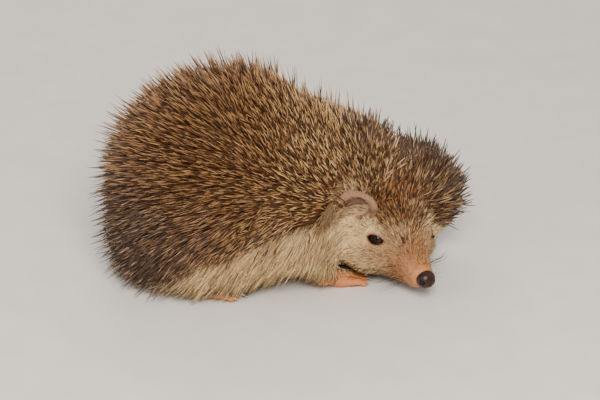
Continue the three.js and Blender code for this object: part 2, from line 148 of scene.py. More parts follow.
def noise(p, size, seed):
    """Smooth noise from -1 to 1, with features of that size."""
    q = p / size + 31.7 * seed
    cell = np.floor(q).astype(np.int64)
    t = q - cell
    t = t * t * (3 - 2 * t)
    total = np.zeros(q.shape[:-1])
    for corner in np.ndindex(2, 2, 2):
        h = np.bitwise_xor.reduce((cell + corner) * HASH, axis=-1)
        h = ((h ^ (h >> 13)) * 1274126177) & 0xFFFFFFFF
        value = ((h ^ (h >> 16)) & 0xFFFF) / 0xFFFF
        total += value * np.prod(np.where(corner, t, 1 - t), axis=-1)
    return 2 * total - 1


# ---- The head's own axes: forward from the nose, left, up ----
def head_axes():
    level = np.cos(HEAD_PITCH)
    forward = np.array([level * np.cos(HEAD_YAW), level * np.sin(HEAD_YAW), -np.sin(HEAD_PITCH)])
    flat = np.array([-np.sin(HEAD_YAW), np.cos(HEAD_YAW), 0])
    up = np.cross(forward, flat)
    left = flat * np.cos(HEAD_ROLL) + up * np.sin(HEAD_ROLL)
    return np.array([forward, left, np.cross(forward, left)])


HEAD = head_axes()


def from_head(q):
    return NOSE_PLACE + HEAD_SCALE * (q @ HEAD)


def one_side(h):
    """Places in the head's axes, with those of its right side put over on its left."""
    return np.where((False, True, False), np.abs(h), h)


def to_head(p):
    return ((p - NOSE_PLACE) @ HEAD.T) / HEAD_SCALE


def head_way(d):
    """A direction, from the head's axes to the model's."""
    return unit(d @ HEAD)


# ---- Distances from simple masses: negative inside ----
def soft_min(a, b, blend):
    overlap = np.maximum(blend - np.abs(a - b), 0)
    return np.minimum(a, b) - overlap * overlap / (4 * max(blend, 1e-6))


def soft_max(a, b, blend):
    return -soft_min(-a, -b, blend)


def mass(p, centre, radii):
    """An ellipsoid."""
    q, radii = p - centre, np.asarray(radii, float)
    k0, k1 = norm(q / radii), norm(q / radii ** 2)
    return k0 * (k0 - 1) / np.maximum(k1, 1e-9)


def taper(p, start, start_radius, end, end_radius):
    """A round bar from start to end, with a radius at each."""
    line = np.subtract(end, start, dtype=float)
    t = np.clip(((p - start) @ line) / (line @ line), 0, 1)
    return norm(p - start - t[..., None] * line) - lerp(start_radius, end_radius, t)


def bars(p, *stations):
    """The bars of a chain, given the place and the radius at each bend."""
    return [taper(p, *a, *b) for a, b in zip(stations, stations[1:])]


def joined(shapes):
    """Shapes joined in turn, each given as its distance and its blend with those before it."""
    whole = None
    for d, blend in shapes:
        whole = d if whole is None else soft_min(whole, d, blend)
    return whole


def body(p):
    """The trunk and head, without legs, ears or lids."""
    trunk = joined((mass(p, centre, radii), blend) for centre, radii, blend in TRUNK_MASSES)
    h = to_head(p)
    head = joined((mass(h, centre, radii), blend) for centre, radii, blend in HEAD_MASSES)
    for start, r0, end, r1, blend in HEAD_TAPERS:
        head = soft_min(head, taper(h, start, r0, end, r1), blend)
    whole = soft_min(trunk, head * HEAD_SCALE, HEAD_BLEND)
    return soft_max(whole, BELLY_HEIGHT - p[..., 2], FLOOR_BLEND)


def seat(start, way):
    """Where a ray from inside the head first comes out through the skin."""
    at, ray = from_head(start), head_way(way)
    steps = np.arange(0, 60, 0.05)
    outside = body(at + steps[:, None] * ray) >= 0
    return at + steps[outside.argmax()] * ray, ray


# ---- Eyes and ears: where each sits and which way it faces ----
LOOK_AHEAD = {"right": 0.5, "left": 0.1}
EYE_SEATS = {"right": ((-29, 0, 4), (0, -0.96, 0.33)), "left": ((-27.5, 0, 2.6), (0, 0.98, 0.16))}
EAR_SEATS = {"right": ((-37.2, 0, 8), (0, -0.8, 0.6)), "left": ((-44, 0, 6), (-0.15, 0.95, 0.28))}


def square_to(way, axis):
    return unit(way - axis * (way @ axis))


def eye_frame(side, sign):
    place, ray = seat(*EYE_SEATS[side])
    look = head_way((LOOK_AHEAD[side], 0.8 * sign, 0.3))
    slit = square_to(head_way((0.94, -0.5 * sign, 0.12)), look)
    return {"centre": place - EYE_SINK * ray, "look": look, "slit": slit, "across": np.cross(look, slit)}


def ear_frame(side, sign):
    place, ray = seat(*EAR_SEATS[side])
    tall = head_way((-0.24, 0.12 * sign, 0.95))
    outward = square_to(head_way((0.82, 0.52 * sign, 0.2)), tall)
    centre = place - EAR_SINK * ray + EAR_LIFT * tall
    return {"centre": centre, "tall": tall, "outward": outward, "wide": np.cross(outward, tall)}


EYES = {side: eye_frame(side, sign) for side, sign in SIDES.items()}
EARS = [ear_frame(side, sign) for side, sign in SIDES.items()]


def slit_edge(p, eye):
    """How far outside the almond opening between the lids, seen along the eye's look."""
    q = p - eye["centre"]
    x, y = q @ eye["slit"], q @ eye["across"]
    r = (SLIT_LONG ** 2 + SLIT_TALL ** 2) / (2 * SLIT_TALL)
    c = r - SLIT_TALL
    return np.maximum(np.hypot(x, y - c), np.hypot(x, y + c)) - r


def with_lids(p, d, eye):
    """Raises the lids over the eye and opens them."""
    far = distance(p, eye["centre"])
    d = soft_min(d, far - LID_RADIUS, LID_BLEND)
    behind = -((p - eye["centre"]) @ eye["look"]) + 0.6
    inner = EYE_RADIUS - LID_OVERLAP - far
    opening = np.maximum(np.maximum(slit_edge(p, eye), behind), inner)
    return soft_max(d, -opening, 0.5)


def ear_place(p, ear):
    """A place's distances outward and up from an ear's centre, its share of the way to the rim,
    and how far outward the sheet of the cup lies there."""
    q = p - ear["centre"]
    u, y, z = q @ ear["wide"] / EAR_HALF[0], q @ ear["outward"], q @ ear["tall"]
    return y, z, np.hypot(u, z / EAR_HALF[1]), EAR_CURL * u * u + EAR_LEAN * np.minimum(z, 0)


def ear_shape(p, ear):
    """A thin cup with a rolled rim, its hollow facing outward."""
    y, z, r, sheet = ear_place(p, ear)
    r = r + 0.05 * noise(p, 6, 41)
    sheet = sheet + ramp(z, -4, 1) * (1.7 * ramp(r, 0.6, 0.78) - 1.2 * ramp(r, 0.82, 1.04))
    thick = 0.8 + 0.3 * ramp(r, 0.6, 0.9)
    return soft_max((np.abs(y - sheet) - thick) * 0.8, (r - 1) * 11, 1.0)


def ear_inside(p):
    """Shares of a place in the fold under an ear's rim, where shade is painted darker, and in the furry
    hollow below it.
    """
    fold, hollow = np.zeros((2,) + p.shape[:-1])
    for ear in EARS:
        y, z, r, sheet = ear_place(p, ear)
        cup = fall(r, 0.58, 0.74) * (y > sheet - 0.4)
        high = ramp(z, -0.5, 2.5)
        fold, hollow = np.maximum(fold, cup * high), np.maximum(hollow, cup * (1 - high))
    return fold, hollow


def foot_frame(spec):
    """A foot's heel and its directions along and across, with its length, width and toes."""
    heel, heading, length, width, toes = spec
    c, s = np.cos(np.radians(heading)), np.sin(np.radians(heading))
    return np.array([*heel, 0.0]), np.array([c, s, 0]), np.array([-s, c, 0]), length, width, toes


def toe_lines(spec):
    """Root, knuckle, pad and claw point of each toe."""
    heel, along, across, length, width, toes = foot_frame(spec)
    lines = []
    for toe in range(toes):
        spread = toe / (toes - 1) - 0.5
        reach = length * (1 - TOE_SHORTENING * (2 * spread) ** 2)
        root = heel + along * length * SOLE_SHARE * TOE_START + across * width * TOE_ROOTS * spread
        tip = heel + along * reach + across * width * spread * (1 + TOE_SPREAD)
        lines.append([lerp(root, tip, t) * (1, 1, 0) + (0, 0, z) for t, z in TOE_HEIGHTS])
    return lines


def toe_crease(p):
    """Share of a place in the folds between the toes, which are painted darker as painted shade."""
    share = np.zeros(p.shape[:-1])
    for spec in FEET:
        toes = [np.minimum(*bars(p, (root, 0), (knuckle, 0), (point, 0)))
                for root, knuckle, _, point in toe_lines(spec)]
        first, second = np.sort(toes, axis=0)[:2]
        share = np.maximum(share, ramp(first - second, -1.1, -0.1) * (first < 3.4))
    return share


def foot(p, spec):
    """A flat sole with toes."""
    heel, along, across, length, width, _ = foot_frame(spec)
    half = length * SOLE_SHARE / 2
    q = p - heel - along * half - (0, 0, SOLE_HEIGHT)
    local = np.stack([q @ along, q @ across, q[..., 2]], -1)
    d = mass(local, (0, 0, 0), (half, width / 2, SOLE_THICKNESS / 2))
    for root, knuckle, pad, _ in toe_lines(spec):
        d = soft_min(d, taper(p, root, TOE_RADII[0], knuckle, TOE_RADII[1]), 1.0)
        d = soft_min(d, taper(p, knuckle, KNUCKLE_RADII[0], pad, KNUCKLE_RADII[1]), 0.7)
        d = soft_min(d, mass(p, pad - (0, 0, 0.3), PAD_RADII), 0.8)
    return d


def attach(p, d, centre, reach, shape, blend, spec):
    """Joins a small shape to the body, worked out only within reach of its centre."""
    near = distance(p, centre) < reach
    d[near] = soft_min(d[near], shape(p[near], spec), blend)


def limb(p, stations):
    return joined((bar, LIMB_BLEND) for bar in bars(p, *stations))


def mouth(h):
    """A shallow crease along both sides of the muzzle."""
    return np.minimum(*bars(one_side(h), *MOUTH))


def skin(p):
    """The whole animal's skin."""
    d = body(p)
    for stations in LIMBS:
        middle = np.mean([place for place, _ in stations], axis=0)
        attach(p, d, middle, LIMB_REACH, limb, 5, stations)
    for spec in FEET:
        heel, along, _, length, _, _ = foot_frame(spec)
        attach(p, d, heel + along * length / 2, FOOT_REACH, foot, 1.6, spec)
    for ear in EARS:
        attach(p, d, ear["centre"], EAR_REACH, ear_shape, 3.0, ear)
    for eye in EYES.values():
        near = distance(p, eye["centre"]) < EYE_REACH
        d[near] = with_lids(p[near], d[near], eye)
    h = to_head(p)
    near = (np.abs(h - MUZZLE_CENTRE) < MUZZLE_HALF).all(-1)
    d[near] = soft_max(d[near], -mouth(h[near]), 0.8) + 0.18 * noise(p[near], 2.2, 3)
    return soft_max(d, -p[..., 2], 0.6)


def slope(f, p, e=0.05):
    """How fast f grows in each direction."""
    return np.stack([(f(p + e * axis) - f(p - e * axis)) / (2 * e) for axis in np.eye(3)], -1)


# ---- A closed surface from a distance: one vertex in each cell that it crosses ----
def ticks(*spans):
    """Grid lines: each span is (start, end, step)."""
    lines = [np.linspace(a, b, round((b - a) / step) + 1)[:-1] for a, b, step in spans]
    return np.concatenate(lines + [[spans[-1][1]]])


BLOCK = 8  # points of the grid along a block
CHUNK = 200000  # points worked out at a time
POLISH = 2  # times that the vertices are moved onto the surface


def grid_places(axes, index):
    return np.stack([line[i] for line, i in zip(axes, index)], -1)


def on_grid(f, axes):
    """f on the grid's points. Far from the surface it is worked out once for each block."""
    last = [np.minimum(np.arange(0, len(a), BLOCK) + BLOCK, len(a)) - 1 for a in axes]
    ends = [a[::BLOCK] for a in axes], [a[k] for a, k in zip(axes, last)]
    low, high = (np.stack(np.meshgrid(*end, indexing="ij"), -1) for end in ends)
    size = norm(high - low) / 2
    coarse = f((low + high).reshape(-1, 3) / 2).reshape(size.shape)
    which = np.ix_(*(np.arange(len(a)) // BLOCK for a in axes))
    values = coarse[which]
    at = np.nonzero((np.abs(coarse) < 1.5 * size + 4)[which])
    points = grid_places(axes, at)
    parts = np.split(points, range(CHUNK, len(points), CHUNK))
    values[at] = np.concatenate([f(part) for part in parts])
    return values


def surface(f, axes):
    """Vertices and four-cornered faces."""
    values = on_grid(f, axes)
    inside = values < 0
    cells = tuple(n - 1 for n in values.shape)
    window = lambda at: inside[tuple(slice(k, k + n) for k, n in zip(at, cells))]
    count = sum(window(at).astype(np.int8) for at in np.ndindex(2, 2, 2))
    at = np.argwhere((count > 0) & (count < 8))
    index = np.full(cells, -1)
    index[tuple(at.T)] = np.arange(len(at))
    total, hits = np.zeros((len(at), 3)), np.zeros(len(at))
    step = np.eye(3, dtype=int)
    for axis in range(3):
        for corner in np.ndindex(2, 2, 2):
            if corner[axis]:
                continue
            a = at + corner
            b = a + step[axis]
            va, vb = values[tuple(a.T)], values[tuple(b.T)]
            cross = (va < 0) != (vb < 0)
            t = np.where(cross, va / np.where(cross, va - vb, 1), 0)
            pa, pb = grid_places(axes, a.T), grid_places(axes, b.T)
            total += (pa + t[:, None] * (pb - pa)) * cross[:, None]
            hits += cross
    verts = total / hits[:, None]
    faces = []
    for axis in range(3):
        a, b, c = np.roll(step, -axis, axis=0)
        low, high = [slice(1, -1)] * 3, [slice(1, -1)] * 3
        low[axis], high[axis] = slice(0, -1), slice(1, None)
        here, there = inside[tuple(low)], inside[tuple(high)]
        for crossed, order in ((here & ~there, 1), (~here & there, -1)):
            corner = np.argwhere(crossed) + 1 - a
            ring = [corner - b - c, corner - c, corner, corner - b][::order]
            faces.append(np.stack([index[tuple(cell.T)] for cell in ring], -1))
    for _ in range(POLISH):
        g = slope(f, verts)
        verts = verts - g * (f(verts) / np.maximum((g * g).sum(-1), 0.2))[:, None]
    return verts, np.concatenate(faces)


# ---- Making pieces ----
def add_object(name, data):
    thing = bpy.data.objects.new(name, data)
    bpy.context.scene.collection.objects.link(thing)
    return thing


def make_piece(name, verts, faces, replaced, attributes, uv=None):
    """A smooth mesh piece. Faces all have the same number of corners."""
    mesh = bpy.data.meshes.new(name)
    count, corners = faces.shape
    mesh.vertices.add(len(verts))
    mesh.vertices.foreach_set("co", (verts * MM).astype(np.float32).ravel())
    mesh.loops.add(count * corners)
    mesh.loops.foreach_set("vertex_index", faces.astype(np.int32).ravel())
    mesh.polygons.add(count)
    mesh.polygons.foreach_set("loop_start", np.arange(0, count * corners, corners, dtype=np.int32))
    mesh.update(calc_edges=True)
    mesh.polygons.foreach_set("use_smooth", np.ones(count, bool))
    for key, values in attributes.items():
        kind, field = ("FLOAT", "value") if values.ndim == 1 else ("FLOAT_COLOR", "color")
        if values.ndim > 1:
            values = np.insert(values, 3, 1, axis=-1)  # opaque
        data = mesh.attributes.new(key, kind, "POINT").data
        data.foreach_set(field, values.astype(np.float32).ravel())
    if uv is not None:
        mesh.uv_layers.new(name="OFBake").data.foreach_set("uv", uv.astype(np.float32).ravel())
    mesh.validate()
    piece = add_object(name, mesh)
    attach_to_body(piece, "root")
    if replaced:
        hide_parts(*replaced)
    return piece


# ---- Materials ----
class Nodes:
    """A material's nodes, with short calls to add and link them."""

    def __init__(self, name):
        self.material = bpy.data.materials.new(name)
        self.material.use_nodes = True
        self.tree = self.material.node_tree
        self.shader = self.tree.nodes["Principled BSDF"]

    def add(self, kind, inputs=None, **settings):
        node = self.tree.nodes.new(kind)
        for key, value in settings.items():
            setattr(node, key, value)
        for key, value in (inputs or {}).items():
            self.put(node.inputs[key], value)
        return node

    def put(self, socket, value):
        if isinstance(value, bpy.types.NodeSocket):
            self.tree.links.new(value, socket)
        else:
            socket.default_value = value

    def read(self, name, output="Fac"):
        return self.add("ShaderNodeAttribute", attribute_name=name).outputs[output]

    def place(self):
        return self.add("ShaderNodeTexCoord").outputs["Object"]

    def grain(self, scale, detail):
        inputs = {"Vector": self.place(), "Scale": scale, "Detail": detail}
        return self.add("ShaderNodeTexNoise", inputs).outputs["Fac"]

    def pebbles(self, scale):
        inputs = {"Vector": self.place(), "Scale": scale}
        return self.add("ShaderNodeTexVoronoi", inputs).outputs["Distance"]

    def mix(self, kind, factor, a, b):
        inputs = {0: factor, 6: a, 7: b}
        return self.add("ShaderNodeMix", inputs, data_type="RGBA", blend_type=kind).outputs[2]

    def scaled(self, value, factor, base):
        """value * factor + base."""
        inputs = {0: value, 1: factor, 2: base}
        return self.add("ShaderNodeMath", inputs, operation="MULTIPLY_ADD").outputs[0]

    def steps(self, factor, *stops):
        node = self.add("ShaderNodeValToRGB", {"Fac": factor})
        points = node.color_ramp.elements
        while len(points) < len(stops):
            points.new(0.5)
        for point, (place, shade) in zip(points, stops):
            point.position = place
            point.color = (*shade, 1) if np.ndim(shade) else (shade, shade, shade, 1)
        return node.outputs["Color"]

    def darken(self, shade, share, factor, low, start=0.3, end=0.7):
        """A colour times a grey, which goes from low to 1 as factor goes from start to end."""
        return self.mix("MULTIPLY", share, shade, self.steps(factor, (start, low), (end, 1.0)))

    def bump(self, height, strength, distance):
        node = self.add("ShaderNodeBump", {"Height": height, "Strength": strength, "Distance": distance * MM})
        self.put(self.shader.inputs["Normal"], node.outputs[0])

    def finish(self, *pieces, **sockets):
        for key, value in sockets.items():
            self.put(self.shader.inputs[key.replace("_", " ")], value)
        for piece in pieces:
            piece.data.materials.append(self.material)


# ---- Where each part of the coat begins ----
def mantle(p):
    """Height over the lower edge of the spines, on the trunk and over the hairline."""
    h = to_head(p)
    ahead = np.maximum(h[..., 0], NAPE_START) - HAIRLINE_PLACE
    over_hair = h[..., 2] - HAIRLINE_HEIGHT - HAIRLINE_SLOPE * ahead
    drop = HAIRLINE_FALL * np.maximum(h[..., 1] - FALL_START, 0) * fall(h[..., 0], *FALL_PLACES)
    over_hair = over_hair + drop * (1 - ramp(p[..., 1], *FALL_END))
    drop = NAPE_FALL * np.maximum(p[..., 1] - NAPE_SIDE, 0) * fall(h[..., 0], *NAPE_PLACES)
    over_hair = over_hair + drop
    over_hair = np.minimum(over_hair, p[..., 2] - HOOD_EDGE_HEIGHT)
    over_flank = p[..., 2] - np.interp(p[..., 0], *MANTLE_EDGE)
    return lerp(over_flank, over_hair, np.clip((p[..., 0] - HOOD_START) / HOOD_LENGTH, 0, 1))


def near_ear(p):
    """Distance from the nearer ear's own surface."""
    return np.minimum.reduce([ear_shape(p, ear) for ear in EARS])


def near_slit(p):
    """Distance outside the opening between the nearer eye's lids, or a large one further off."""
    return np.minimum.reduce([
        slit_edge(p, eye) + 9 * (distance(p, eye["centre"]) > 14) for eye in EYES.values()
    ])


def near_eye(p):
    """Distance from the nearer eye's centre."""
    return np.minimum.reduce([distance(p, eye["centre"]) for eye in EYES.values()])


def ear_front(p):
    """Share of a place just ahead of an ear's lower half, where long fur grows over it."""
    places = [ear["centre"] + 5 * ear["outward"] - 6 * ear["tall"] + 3 * HEAD[0] for ear in EARS]
    return fall(np.minimum.reduce([distance(p, place) for place in places]), 7, 11)


# ---- Markings, and colours that also carry painted shade ----
CREAM, WHITE, TAN, GREY = colours("f5d19a ffe2a8 a66c3a a08c70")
PINK, PEACH, BRIDGE, BLUSH = colours("c67b4e d0824f d08742 93543a")
EYE_PATCH, EAR_BROWN, SKIN_AND_SHADE_UNDER_SPINES, RIM = colours("a3644c a2775a 48290f 170c08")
BROW_SIDE, MUZZLE_START = 4, (-27, -13)


def head_share(p):
    return ramp(p[..., 0], *HEAD_START)


def brow_share(p):
    """Share of a place in the brown band between the hairline and the brow."""
    side = np.abs(to_head(p)[..., 1] + BROW_SIDE)
    return head_share(p) * ramp(mantle(p), -9, -1) * (1 - 0.85 * ramp(side, 7, 12))


def face_tone(p):
    """Colour of the fur and of the skin under it, the same markings on both, with painted shade low on the
    body.
    """
    forward, side, up = np.moveaxis(one_side(to_head(p)), -1, 0)
    on_head = head_share(p)
    muzzle = on_head * ramp(forward, *MUZZLE_START)
    eye = fall(near_eye(p - 1.2 * HEAD[0] + 3 * HEAD[2]), 5, 14) * fall(up, 3, 8)
    return paint(
        CREAM,
        (WHITE, on_head * fall(forward, -34, -24) * ramp(side, 6, 14) * ramp(up, -10, -3)),
        (TAN, 0.68 * brow_share(p) * (0.6 + 0.4 * noise(p, 3, 5))),
        (PINK, 0.85 * muzzle),
        (BRIDGE, 0.8 * on_head * ramp(forward, -22, -12) * ramp(up, 1, 5) * fall(side, 1, 5)),
        (BLUSH, 0.3 * muzzle * ramp(noise(p, 2.2, 6), 0.0, 0.6)),
        (EYE_PATCH, 0.75 * np.maximum(eye, fall(near_slit(p), 0.8, 3.4))),
        # Greyer low on the body: partly the belly fur's own colour, partly painted shade under the belly.
        (GREY, 0.5 * fall(p[..., 2], 9, 22) * (1 - on_head)),
    )


def fuzz_share(p):
    """Share of a place on an ear, a little wider than the ear's bare skin."""
    return fall(near_ear(p), 0.8, 2.2)


def limb_share(p):
    """Share of a place on the legs, tail, ears and lids, which stand out from the body."""
    return ramp(body(p), 0.4, 2.0)


def ear_share(p):
    return fall(near_ear(p), 0.5, 1.6)


def foot_share(p):
    return fall(p[..., 2], 7, 14) * ramp(body(p), 0.4, 1.6) * (p[..., 0] > TAIL_START)


# ---- The skin ----
def make_skin():
    """The skin piece. Returns its vertices, faces and normals, which the coat grows from."""
    axes = [  # finer at the head, the ears and the feet
        ticks((-108, -62, 1.7), (-62, -18, 0.9), (-18, 24, 1.5), (24, 98, 0.56)),
        ticks((-54, -48, 1.5), (-48, 40, 0.6), (40, 54, 1.5)),
        ticks((-1.2, 10, 0.5), (10, 62, 0.56), (62, 114, 2.2)),
    ]
    verts, faces = surface(skin, axes)
    normals = unit(slope(skin, verts))
    spiny = ramp(mantle(verts), -1.5, 3)
    ear = ear_share(verts)
    bare = foot_share(verts)
    tone = paint(
        face_tone(verts) * 0.8,
        # Under the spines the skin is painted dark brown: partly its own colour, partly painted shade between
        # the spines.
        (SKIN_AND_SHADE_UNDER_SPINES, spiny),
        # Ear skin, painted darker in the fold under the rim: painted shade.
        (EAR_BROWN * (1 - 0.55 * ear_inside(verts)[0])[:, None], ear),
        # Feet, painted darker in the folds between the toes: painted shade.
        (PEACH * (1 - 0.55 * toe_crease(verts))[:, None], bare),
        *((RIM, fall(slit_edge(verts, eye), 0.2, 1.3) * (distance(verts, eye["centre"]) < LID_REACH))
          for eye in EYES.values()),
        # The mouth's crease is painted dark: painted shade in the crease.
        (RIM, 0.8 * fall(mouth(to_head(verts)), 0.1, 0.7)),
    )
    nodes = "trunk_back trunk_belly neck_back neck_throat crown face muzzle tail".split()
    for side in SIDES:
        nodes += [f"{part}_{side}" for part in ("ear", "foreleg", "forefoot", "hindleg", "hindfoot")]
    attributes = {"tone": tone, "bare": np.maximum(bare, 0.6 * ear)}
    piece = make_piece("skin", verts, faces, nodes, attributes)
    m = Nodes("skin")
    fine, broad = m.grain(900, 6), m.grain(160, 3)
    shade = m.darken(m.read("tone", "Color"), 1.0, broad, 0.78)
    shade = m.darken(shade, 0.6, fine, 0.7, end=0.65)
    m.bump(m.scaled(m.pebbles(1100), m.read("bare"), fine), 0.55, 0.5)
    m.finish(piece, Base_Color=shade, Roughness=m.scaled(fine, 0.25, 0.5), Specular_IOR_Level=0.25)
    return verts, faces, normals


# ---- Roots of the coat, spread over the skin ----
def spread(rng, body_mesh, density):
    """Roots spread evenly over the skin, density of them to the square millimetre."""
    verts, faces, normals = body_mesh
    tris = faces[:, [[0, 1, 2], [0, 2, 3]]].reshape(-1, 3)
    a, b, c = verts[tris].transpose(1, 0, 2)
    weight = norm(np.cross(b - a, c - a)) / 2 * density[tris].mean(-1)
    reach = np.cumsum(weight)
    picks = np.searchsorted(reach, np.arange(rng.random(), reach[-1], 1.0))
    share = rng.random((len(picks), 2))
    over = share.sum(-1) > 1
    share[over] = 1 - share[over]
    s = np.column_stack([1 - share.sum(-1), share])
    tri = tris[picks]
    roots = (verts[tri] * s[..., None]).sum(1)
    return roots, unit((normals[tri] * s[..., None]).sum(1))


def thin_out(rng, roots, gap):
    """Picks of the roots such that no two are nearer than gap, which may differ for each."""
    cell = np.floor(roots / gap.max()).astype(int)
    grid, kept = {}, []
    for i in rng.permutation(len(roots)):
        x, y, z = cell[i]
        near = [j for dx in (-1, 0, 1) for dy in (-1, 0, 1) for dz in (-1, 0, 1)
                for j in grid.get((x + dx, y + dy, z + dz), ())]
        if near and (((roots[near] - roots[i]) ** 2).sum(-1) < gap[i] ** 2).any():
            continue
        grid.setdefault((x, y, z), []).append(i)
        kept.append(i)
    return np.array(kept)


# ---- Tapered strands: spines and locks of fur ----
BEND_STEPS = 12


def strands(roots, normals, ways, lengths, radii, lean, profile, sides, sink, bend, lowest):
    """Each strand leans from the normal towards its way, with bend added at its root and its tip.
    profile is (place along, share of the radius) at each ring. Returns vertices, triangles, each
    vertex's place along and strand, and the corners' places on a strand's patch of the map."""
    count, rings = len(roots), len(profile)
    places, widths = np.array(profile).T
    fine = (np.arange(BEND_STEPS) + 0.5) / BEND_STEPS
    lean = lerp((lean + bend[0])[:, None], (lean + bend[1])[:, None], fine)
    dirs = np.cos(lean)[..., None] * normals[:, None] + np.sin(lean)[..., None] * ways[:, None]
    line = np.concatenate([np.zeros((count, 1, 3)), np.cumsum(dirs, axis=1) / BEND_STEPS], axis=1)
    line = line * lengths[:, None, None] + (roots - sink * normals)[:, None]
    spot = places * BEND_STEPS
    low = np.minimum(spot.astype(int), BEND_STEPS - 1)
    part = (spot - low)[None, :, None]
    centre = line[:, low] * (1 - part) + line[:, low + 1] * part
    ahead = unit(line[:, low + 1] - line[:, low])
    flank = unit(np.cross(normals, ways))[:, None] + 0 * ahead
    over = unit(np.cross(ahead, flank))
    turn = 2 * np.pi * np.arange(sides) / sides
    ring = np.cos(turn)[:, None] * flank[:, :, None] + np.sin(turn)[:, None] * over[:, :, None]
    size = radii[:, None] * widths[None]
    verts = centre[:, :, None] + ring * size[..., None, None]
    verts = np.concatenate([verts[:, :-1].reshape(count, -1, 3), centre[:, -1:]], axis=1)
    each, last = verts.shape[1], rings - 2
    corners = []  # of each triangle, as steps round the strand and rings along it
    for r in range(last):
        for s in range(sides):
            a, b, c, d = (s, r), (s + 1, r), (s + 1, r + 1), (s, r + 1)
            corners += [(a, b, c), (a, c, d)]
    corners += [((s, last), (s + 1, last), (s + 0.5, last + 1)) for s in range(sides)]
    corners += [((0, 0), (s + 1, 0), (s, 0)) for s in range(1, sides - 1)]
    round_it, along_it = np.moveaxis(np.array(corners, float), -1, 0)
    tris = np.where(along_it > last, each - 1, along_it * sides + round_it % sides).astype(int)
    faces = (tris[None] + (np.arange(count) * each)[:, None, None]).reshape(-1, 3)
    patch = np.stack([round_it / sides, np.interp(along_it, np.arange(rings), places)], -1)
    along = np.concatenate([np.repeat(places[:-1], sides), [1.0]])
    verts = verts.reshape(-1, 3)
    verts[:, 2] = np.maximum(verts[:, 2], lowest)
    return verts, faces, np.tile(along, count), np.repeat(np.arange(count), each), patch


PIECE_TRIANGLES = 190000
PATCH = 0.003  # a strand's patch on the map
# centre, pole and top of the skin's unwrap
TRUNK_MAP = np.array([-25.0, 0, 46]), np.array([1.0, 0, 0]), np.array([0, 0, 1.0])
HEAD_MAP = from_head((-40, 0, 6)), HEAD[0], HEAD[2]
HEAD_COAT = ("spines_head", "fur_muzzle", "fur_face", "fur_cheek")


def portions(roots, groups, each):
    """Cuts groups of strands from front to back so that no piece has too many triangles."""
    for name, picked in groups.items():
        picked = np.flatnonzero(picked)
        picked = picked[np.argsort(roots[picked, 0])]
        parts = int(np.ceil(len(picked) * each / PIECE_TRIANGLES))
        for i, part in enumerate(np.array_split(picked, parts)):
            yield (f"{name}_{i + 1}" if parts > 1 else name), part


def unwrap(p, centre, pole, top):
    """A place on the skin, unwrapped round a centre: turn about the pole, and angle from it."""
    q = unit(p - centre)
    side = np.cross(pole, top)
    turn = np.arctan2(q @ side, q @ top) / (2 * np.pi) + 0.5
    tip = np.arccos(np.clip(q @ pole, -1, 1)) / np.pi
    return 0.01 + 0.98 * np.stack([turn, tip], -1)


def coat_piece(name, picked, hairs, offset, tones, profile, shape):
    """The picked hairs as one piece. Each is a small patch at its root's place on the map."""
    roots, *rest = (values[picked] for values in hairs)
    verts, faces, along, which, patch = strands(roots, *rest, profile, **shape)
    attributes = {"along": along + offset[picked][which]}
    attributes.update({key: values[picked][which] for key, values in tones.items()})
    place = unwrap(roots, *(HEAD_MAP if name.startswith(HEAD_COAT) else TRUNK_MAP))
    uv = place[:, None, None] + PATCH * (patch[None] - 0.5)
    return make_piece(name, verts, faces, [], attributes, uv.reshape(-1, 2))


# ---- Spines ----
SPINE_PROFILE = [(0, 0.6), (0.2, 0.95), (0.62, 0.95), (0.88, 0.5), (1, 0)]
FAN_CENTRE, DROOP = np.array([68.0, -30, 18]), 0.85
CROWN_START = (30, 55)
SPINE_CELLS, SPINE_GAP = 2.8, 1.37  # possible roots to the square millimetre, least gap
FLANK_LENGTH, REAR_LENGTH, HAIRLINE_LENGTH, BACK_LENGTH, CROWN_LENGTH = 14, 16, 9, 17.5, 15
SWEPT, CROWN_SWEPT = 74, 60  # degrees from the normal
HEAD_SPINES, BACK_SPINES, RUMP_TOP = 34, -15, 62  # where one piece ends and the next begins
SHOULDER_PLACE = 22
SPINE_SHAPE = {"sides": 5, "sink": 0.6, "bend": (-0.1, 0.12), "lowest": 0.4}
EAR_CLEARANCE = 1.1
PALE, PALE_WARM, PALE_DULL, RUSTY, GOLDEN = colours("8c5d33 c6985f 85603f 8a4f28 dcab68")
SHOULDER_PALE, CROWN_PALE, HAIRLINE_PALE = colours("ecc88c edc9a0 b96d2f")
REAR_DARK, REAR_PALE = colours("4e3523 b09278")
BAND, BAND_WARM, BAND_DULL = colours("301c10 64401f 50351f")


def tangent(way, normals):
    return unit(way - (way * normals).sum(-1, keepdims=True) * normals)


def waves(p, size, *seeds):
    """A direction that changes smoothly from place to place."""
    return np.stack([noise(p, size, seed) for seed in seeds], -1)


def spine_way(roots, normals, swept, rng):
    """Spines fan away from the face and droop low on the sides. Returns the way each leans
    over the skin, and how far, from the angle by which it is swept along the fan."""
    fan = unit(roots - FAN_CENTRE)
    fan[:, 2] -= DROOP * fall(roots[:, 2], 35, 92) * fall(roots[:, 0], 0, 35)
    fan = unit(fan)
    wild = 1 + 0.5 * ramp(roots[:, :1], *CROWN_START)
    fan = fan + wild * (0.3 * waves(roots, 11, 11, 12, 13) + 0.14 * rng.normal(size=roots.shape))
    way = unit(np.cos(swept)[:, None] * normals + np.sin(swept)[:, None] * fan)
    return tangent(way, normals), np.arccos(np.clip((way * normals).sum(-1), -1, 1))


